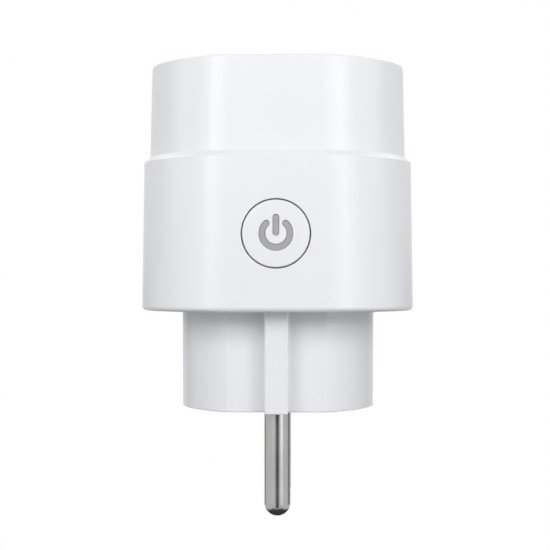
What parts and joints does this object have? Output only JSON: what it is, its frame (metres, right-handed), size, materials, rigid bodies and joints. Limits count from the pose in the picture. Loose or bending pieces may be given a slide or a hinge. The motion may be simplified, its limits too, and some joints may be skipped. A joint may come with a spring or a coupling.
{
  "type": "plug-in power meter",
  "caption": "Metering smart plug: a round earthed plug below, a matching socket recess on top, and a front push button with a power symbol.",
  "frame": {"origin": "centre of the plug's contact face, the face that meets the floor of a wall socket", "axes": "+Z from the pins up to the socket recess; the button faces -Y; the two pins lie side by side along Y"},
  "size_m": [0.0496, 0.0496, 0.082],
  "materials": {
    "shell": "fine satin, cool white",
    "insert": "satin white",
    "translucent": "translucent grey, satin",
    "nickel": "polished nickel plate",
    "brass": "satin",
    "steel": "zinc plated",
    "board": "glass laminate with green resist",
    "black": "moulded black",
    "smoke": "moulded dark grey",
    "blue": "lacquer",
    "yellow": "moulded yellow",
    "copper": "enamelled copper"
  },
  "bodies": {
    "housing": {"main_housing": "shell", "socket_cover": "shell", "socket_well": "insert", "plug_base": "shell", "tact_switch": "black", "line_pin": "nickel", "line_riser": "brass", "line_sleeve": "brass", "neutral_pin": "nickel", "neutral_riser": "brass", "neutral_sleeve": "brass", "earth_strip_left": "nickel", "earth_strip_right": "nickel", "earth_bridge": "brass", "earth_pin_sleeve": "brass", "contact_carrier": "insert", "shutter_spring": "steel", "main_board": "board", "control_board": "board", "board_header": "black", "status_led": "translucent", "wireless_board": "blue", "wireless_shield": "steel", "relay_base": "smoke", "relay_case": "smoke", "relay_bobbin": "insert", "relay_winding": "copper", "relay_yoke": "steel", "relay_fixed_contact": "copper", "film_capacitor": "yellow", "reservoir_capacitor": "blue", "output_capacitor": "black", "choke_core": "black", "choke_winding": "copper", "fuse_resistor": "blue", "varistor": "blue", "bridge_rectifier": "black", "regulator_chip": "black", "metering_chip": "black", "shunt_resistor": "copper", "case_screw_1": "steel", "case_screw_2": "steel", "case_screw_3": "steel", "case_screw_4": "steel", "board_screw_1": "steel", "board_screw_2": "steel"},
    "button": {"button_cap": "shell", "symbol_light_guide": "translucent"},
    "plunger": {"tact_plunger": "insert"},
    "shutter": {"shutter": "shell"},
    "armature": {"relay_armature": "steel", "relay_contact_leaf": "copper"}
  },
  "joints": [
    {"name": "button_press", "type": "slide", "parent": "housing", "child": "button", "axis": [0, 1, 0], "range_m": [0, 0.0005], "stiffness_N_per_m": 2500},
    {"name": "plunger_press", "type": "slide", "parent": "housing", "child": "plunger", "axis": [0, 1, 0], "range_m": [0, 0.0006]},
    {"name": "shutter_turn", "type": "hinge", "parent": "housing", "child": "shutter", "pos_m": [0, 0, 0.042], "axis": [0, 0, 1], "range_deg": [0, 42], "stiffness_Nm_per_rad": 0.01},
    {"name": "armature_tilt", "type": "hinge", "parent": "housing", "child": "armature", "pos_m": [0.0124, 0.0059, 0.0371], "axis": [-1, 0, 0], "range_deg": [0, 4], "stiffness_Nm_per_rad": 0.02}
  ],
  "couplings": [
    {"joint": "plunger_press", "follows": "button_press", "ratio": 1}
  ]
}
